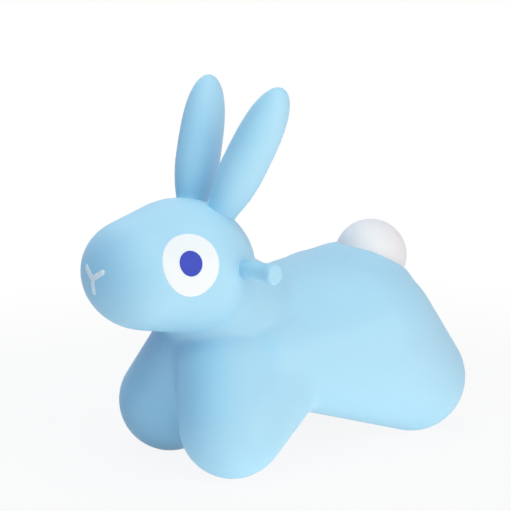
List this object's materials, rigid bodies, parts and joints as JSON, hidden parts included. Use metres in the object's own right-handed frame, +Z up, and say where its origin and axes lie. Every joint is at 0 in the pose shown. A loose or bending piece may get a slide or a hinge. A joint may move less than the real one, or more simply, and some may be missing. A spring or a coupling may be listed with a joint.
{
  "type": "bouncy ride-on animal",
  "caption": "Air-filled soft plastic rabbit to sit on and bounce, with a low back, side handles by the head, upright ears, a ball tail and an air valve.",
  "frame": {"origin": "on the floor under the middle of the whole part's box", "axes": "+Z up, the nose points along -Y, the animal's left side is +X"},
  "size_m": [0.3134, 0.5563, 0.4999],
  "materials": {
    "skin": "soft matte pale blue vinyl",
    "handle": "soft matte pale blue vinyl",
    "tail": "soft matte white vinyl",
    "eye_white": "satin white printed vinyl",
    "pupil": "satin deep blue printed vinyl",
    "mouth": "satin white printed vinyl",
    "valve": "translucent white soft plastic"
  },
  "bodies": {
    "feet": {"front_foot_left": "skin", "front_foot_right": "skin", "rear_foot_left": "skin", "rear_foot_right": "skin"},
    "body": {"trunk_shell": "skin", "head_shell": "skin", "handle_left": "handle", "handle_right": "handle", "tail_ball": "tail", "valve_sleeve": "valve", "eye_white_left": "eye_white", "eye_white_right": "eye_white", "pupil_left": "pupil", "pupil_right": "pupil", "mouth": "mouth"},
    "ear_left": {"ear_left": "skin"},
    "ear_right": {"ear_right": "skin"},
    "valve_plug": {"valve_plug": "valve"}
  },
  "joints": [
    {"name": "bounce", "type": "slide", "parent": "feet", "child": "body", "axis": [0, 0, -1], "range_m": [0, 0.02], "stiffness_N_per_m": 8000, "springref_m": -0.004, "deforming": ["front_foot_left", "front_foot_right", "rear_foot_left", "rear_foot_right"]},
    {"name": "ear_left_bend", "type": "hinge", "parent": "body", "child": "ear_left", "pos_m": [0.03552, -0.10396, 0.34528], "axis": [1, 0, 0], "range_deg": [-12, 12], "stiffness_Nm_per_rad": 1},
    {"name": "ear_right_bend", "type": "hinge", "parent": "body", "child": "ear_right", "pos_m": [-0.03552, -0.10396, 0.34528], "axis": [1, 0, 0], "range_deg": [-12, 12], "stiffness_Nm_per_rad": 1},
    {"name": "valve_plug_pull", "type": "slide", "parent": "body", "child": "valve_plug", "axis": [0, 0.9781, 0.2079], "range_m": [0, 0.03]}
  ]
}
